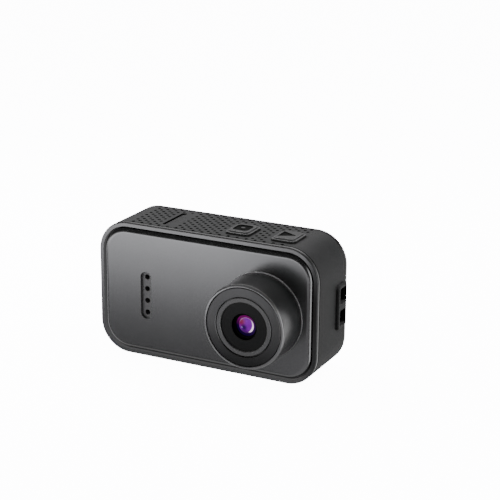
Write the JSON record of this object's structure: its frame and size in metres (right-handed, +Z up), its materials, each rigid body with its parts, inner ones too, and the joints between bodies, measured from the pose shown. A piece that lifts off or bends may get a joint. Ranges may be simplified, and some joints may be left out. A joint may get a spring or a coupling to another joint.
{
  "type": "action camera",
  "caption": "Small slab-shaped action camera with a protruding round lens, top buttons, a card slot and a rear screen.",
  "frame": {"origin": "mouth of the tripod socket, at the middle of the flat base", "axes": "+Z up out of the top, where the buttons are; the lens looks along -Y; +X is to the right as the front is seen"},
  "size_m": [0.0657, 0.0298, 0.0383],
  "materials": {
    "shell": "fine satin, moulded",
    "rim": "satin silver-grey paint",
    "plate": "satin graphite",
    "barrel": "satin black-grey",
    "bright_ring": "turned",
    "trim": "semi-gloss black",
    "inner_ring": "satin grey",
    "black_plastic": "matt black",
    "lens_glass": "coated, magenta reflection",
    "clear_glass": "polished",
    "black_glass": "polished cover glass, black behind",
    "button": "fine satin, moulded",
    "silicone": "matt",
    "adhesive": "foam tape",
    "circuit_board": "solder mask",
    "chip": "moulded",
    "can": "tinned",
    "steel": "nickel plated",
    "frame": "bead blasted",
    "brass": "machined",
    "battery": "laminate pouch",
    "flex": "polyimide",
    "card": "moulded black",
    "screen": "liquid crystal panel",
    "tray": "white"
  },
  "bodies": {
    "camera": {"main_shell": "shell", "front_rim": "rim", "front_plate": "plate", "front_gasket": "adhesive", "rear_rim": "rim", "rear_glass": "black_glass", "rear_adhesive": "adhesive", "microphone_grille": "plate", "microphone_mesh": "steel", "microphone_capsules": "can", "microphone_board": "circuit_board", "lens_barrel": "barrel", "lens_seal": "silicone", "lens_base_ring": "bright_ring", "lens_trim_ring": "trim", "lens_inner_ring": "inner_ring", "lens_baffle": "black_plastic", "lens_cell": "black_plastic", "front_lens": "lens_glass", "lens_spacer": "black_plastic", "rear_lens_group": "clear_glass", "lens_holder": "black_plastic", "ir_filter": "clear_glass", "image_sensor": "chip", "sensor_board": "circuit_board", "sensor_flex": "flex", "lens_holder_screws": "steel", "button_carrier": "black_plastic", "button_pads": "silicone", "button_board": "circuit_board", "tact_switches": "can", "card_reader": "can", "card_board": "circuit_board", "inner_frame": "frame", "housing_screws": "steel", "main_board": "circuit_board", "board_screws": "steel", "processor_shield": "can", "heat_spreader": "frame", "memory_chips": "chip", "board_connectors": "black_plastic", "battery_pack": "battery", "battery_board": "circuit_board", "usb_c_receptacle": "steel", "speaker": "black_plastic", "wifi_antenna": "flex", "strap_anchor": "shell", "tripod_insert": "brass", "display_panel": "screen", "backlight_tray": "tray", "display_flex": "flex"},
    "record_button": {"record_button": "button"},
    "power_button": {"power_button": "button"},
    "memory_card": {"memory_card": "card"}
  },
  "joints": [
    {"name": "record_press", "type": "slide", "parent": "camera", "child": "record_button", "axis": [0, 0, -1], "range_m": [0, 0.0005], "stiffness_N_per_m": 3000, "springref_m": -0.0002},
    {"name": "power_press", "type": "slide", "parent": "camera", "child": "power_button", "axis": [0, 0, -1], "range_m": [0, 0.0005], "stiffness_N_per_m": 3000, "springref_m": -0.0002},
    {"name": "card_slide", "type": "slide", "parent": "camera", "child": "memory_card", "axis": [0, 0, 1], "range_m": [-0.0008, 0.0145]}
  ]
}
